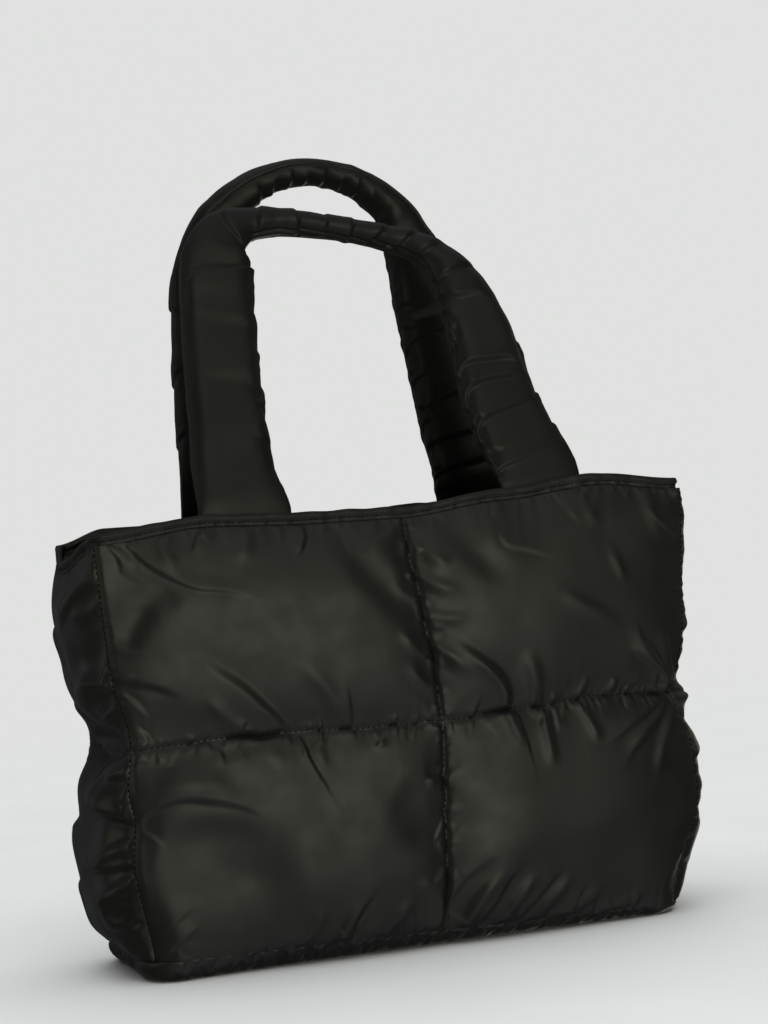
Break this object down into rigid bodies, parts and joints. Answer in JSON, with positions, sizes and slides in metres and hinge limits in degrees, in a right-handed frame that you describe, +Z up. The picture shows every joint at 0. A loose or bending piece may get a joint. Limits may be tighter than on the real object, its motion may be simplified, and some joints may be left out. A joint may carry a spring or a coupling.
{
  "type": "quilted handbag",
  "caption": "Open-top padded tote handbag with quilted faces, gathered gussets, a flat base, a topstitched hem and padded loop handles with folded grips.",
  "frame": {"origin": "middle of the flat underside of the base, on the surface the bag stands on", "axes": "+Z up, +X along the faces to the right as the front face is seen, +Y from the front face to the back face"},
  "size_m": [0.4668, 0.1656, 0.5613],
  "materials": {
    "quilted_nylon": "satin olive-black nylon, padded and quilted",
    "hem_nylon": "satin olive-black nylon, folded and topstitched",
    "handle_nylon": "satin olive-black nylon, padded and gathered"
  },
  "bodies": {
    "root": {"front_panel": "quilted_nylon", "back_panel": "quilted_nylon", "left_gusset": "quilted_nylon", "right_gusset": "quilted_nylon", "base_panel": "quilted_nylon", "rim_hem": "hem_nylon", "front_handle": "handle_nylon", "back_handle": "handle_nylon"}
  },
  "joints": []
}
